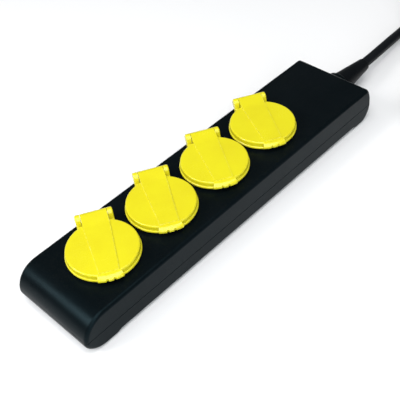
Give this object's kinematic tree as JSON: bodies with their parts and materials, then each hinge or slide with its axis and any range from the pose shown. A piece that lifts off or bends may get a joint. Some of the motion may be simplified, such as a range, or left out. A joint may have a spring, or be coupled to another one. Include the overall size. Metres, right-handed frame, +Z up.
{
  "type": "portable socket strip",
  "caption": "Long low black socket strip with round sprung yellow lids over earthed outlets, moulded stand pads and a rubber cord with an anti-kink boot and plug.",
  "frame": {"origin": "on the surface it stands on, below the middle of the housing's bounding box, cord spout included", "axes": "+X along the strip towards the cord, +Y across it towards the lids' hinges, +Z up"},
  "size_m": [0.5869, 0.1413, 0.0453],
  "materials": {
    "black_shell": "satin black moulded polycarbonate blend, fine spark-eroded grain",
    "outlet_black": "satin black moulded plastic",
    "yellow_lid": "lemon yellow moulded plastic, semi-gloss",
    "yellow_frame": "lemon yellow moulded plastic, semi-gloss",
    "soft_rubber": "soft black sealing rubber",
    "steel": "zinc plated steel",
    "spring_steel": "drawn spring wire",
    "brass": "stamped brass strip",
    "clamp_grey": "grey moulded nylon",
    "core_brown": "brown core insulation",
    "core_blue": "blue core insulation",
    "core_green": "green core insulation with a yellow stripe",
    "cord_rubber": "matt black rubber sheath",
    "boot_rubber": "matt black moulded rubber",
    "nickel": "nickel plated brass"
  },
  "bodies": {
    "housing": {"top_housing": "black_shell", "bottom_housing": "black_shell", "socket_insert_1": "outlet_black", "socket_insert_2": "outlet_black", "socket_insert_3": "outlet_black", "socket_insert_4": "outlet_black", "lid_frame_1": "yellow_frame", "lid_frame_2": "yellow_frame", "lid_frame_3": "yellow_frame", "lid_frame_4": "yellow_frame", "housing_seal": "soft_rubber", "housing_screws": "steel", "clamp_screws": "steel", "hinge_pin_1": "steel", "hinge_pin_2": "steel", "hinge_pin_3": "steel", "hinge_pin_4": "steel", "lid_spring_1": "spring_steel", "lid_spring_2": "spring_steel", "lid_spring_3": "spring_steel", "lid_spring_4": "spring_steel", "live_bar": "brass", "neutral_bar": "brass", "earth_bar": "brass", "cable_clamp": "clamp_grey", "live_wire": "core_brown", "neutral_wire": "core_blue", "earth_wire": "core_green", "cable_end": "cord_rubber", "power_cord": "cord_rubber", "cord_coil": "cord_rubber", "plug_lead": "cord_rubber", "strain_relief": "boot_rubber", "plug_body": "boot_rubber", "plug_pins": "nickel", "plug_earth_strips": "nickel"},
    "lid_1": {"lid_1": "yellow_lid", "lid_seal_1": "soft_rubber"},
    "lid_2": {"lid_2": "yellow_lid", "lid_seal_2": "soft_rubber"},
    "lid_3": {"lid_3": "yellow_lid", "lid_seal_3": "soft_rubber"},
    "lid_4": {"lid_4": "yellow_lid", "lid_seal_4": "soft_rubber"}
  },
  "joints": [
    {"name": "lid_1_hinge", "type": "hinge", "parent": "housing", "child": "lid_1", "pos_m": [-0.10085, 0.02884, 0.0415], "axis": [-0.866, 0.5, 0], "range_deg": [0, 110], "stiffness_Nm_per_rad": 0.012, "springref_deg": -28.65, "deforming": ["lid_spring_1"]},
    {"name": "lid_2_hinge", "type": "hinge", "parent": "housing", "child": "lid_2", "pos_m": [-0.04085, 0.02884, 0.0415], "axis": [-0.866, 0.5, 0], "range_deg": [0, 110], "stiffness_Nm_per_rad": 0.012, "springref_deg": -28.65, "deforming": ["lid_spring_2"]},
    {"name": "lid_3_hinge", "type": "hinge", "parent": "housing", "child": "lid_3", "pos_m": [0.01915, 0.02884, 0.0415], "axis": [-0.866, 0.5, 0], "range_deg": [0, 110], "stiffness_Nm_per_rad": 0.012, "springref_deg": -28.65, "deforming": ["lid_spring_3"]},
    {"name": "lid_4_hinge", "type": "hinge", "parent": "housing", "child": "lid_4", "pos_m": [0.07915, 0.02884, 0.0415], "axis": [-0.866, 0.5, 0], "range_deg": [0, 110], "stiffness_Nm_per_rad": 0.012, "springref_deg": -28.65, "deforming": ["lid_spring_4"]}
  ]
}
